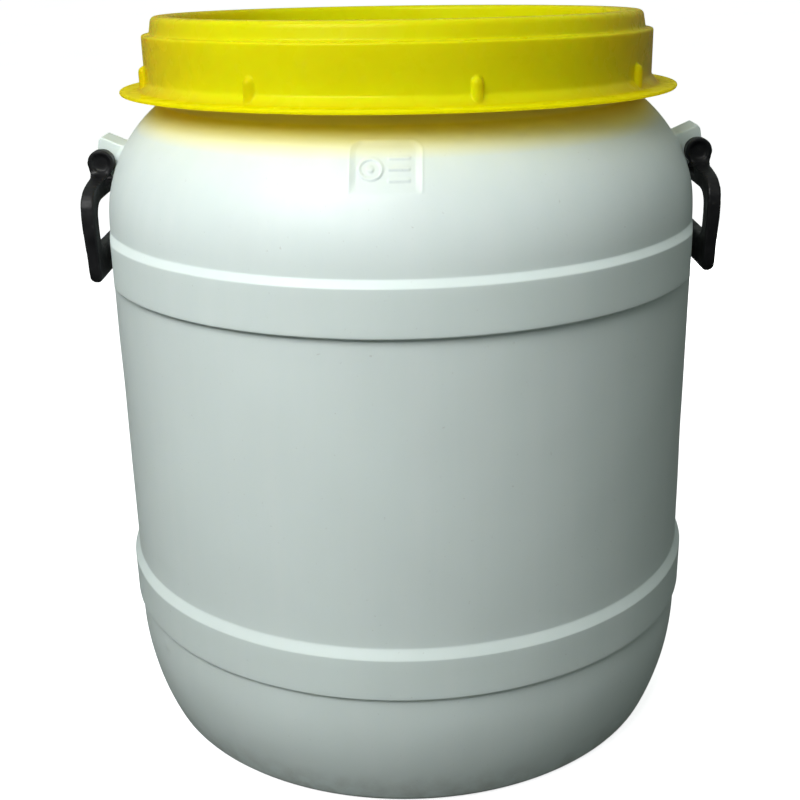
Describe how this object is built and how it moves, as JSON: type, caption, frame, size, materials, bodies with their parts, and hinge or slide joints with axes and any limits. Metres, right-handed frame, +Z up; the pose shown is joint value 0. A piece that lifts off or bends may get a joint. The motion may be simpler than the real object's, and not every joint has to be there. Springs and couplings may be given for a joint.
{
  "type": "screw lid plastic drum",
  "caption": "Wide-mouth plastic storage drum with a one-piece screw lid, raised bands and two swing handles on shoulder lugs.",
  "frame": {"origin": "centre of the base, on the floor", "axes": "+Z up along the drum's axis, X through the two handles, -Y towards the embossed panel"},
  "size_m": [0.4198, 0.4074, 0.4905],
  "materials": {
    "body_white": "satin natural white polyethylene",
    "lid_yellow": "glossy yellow polyethylene",
    "gasket_rubber": "pale grey foam rubber",
    "handle_black": "semi-gloss black polypropylene"
  },
  "bodies": {
    "drum": {"drum_body": "body_white"},
    "gasket": {"lid_gasket": "gasket_rubber"},
    "lid": {"screw_lid": "lid_yellow"},
    "left_handle": {"handle_left": "handle_black"},
    "right_handle": {"handle_right": "handle_black"}
  },
  "joints": [
    {"name": "lid_rise", "type": "slide", "parent": "drum", "child": "gasket", "axis": [0, 0, 1], "range_m": [0, 0.0485]},
    {"name": "lid_turn", "type": "hinge", "parent": "gasket", "child": "lid", "pos_m": [0, 0, 0.466], "axis": [0, 0, 1], "range_deg": [0, 1440]},
    {"name": "left_handle_swing", "type": "hinge", "parent": "drum", "child": "left_handle", "pos_m": [-0.2014, 0, 0.3975], "axis": [0, 1, 0], "range_deg": [0, 168]},
    {"name": "right_handle_swing", "type": "hinge", "parent": "drum", "child": "right_handle", "pos_m": [0.2014, 0, 0.3975], "axis": [0, -1, 0], "range_deg": [0, 168]}
  ],
  "couplings": [
    {"joint": "lid_rise", "follows": "lid_turn", "m_per_rad": 0.0019099}
  ]
}
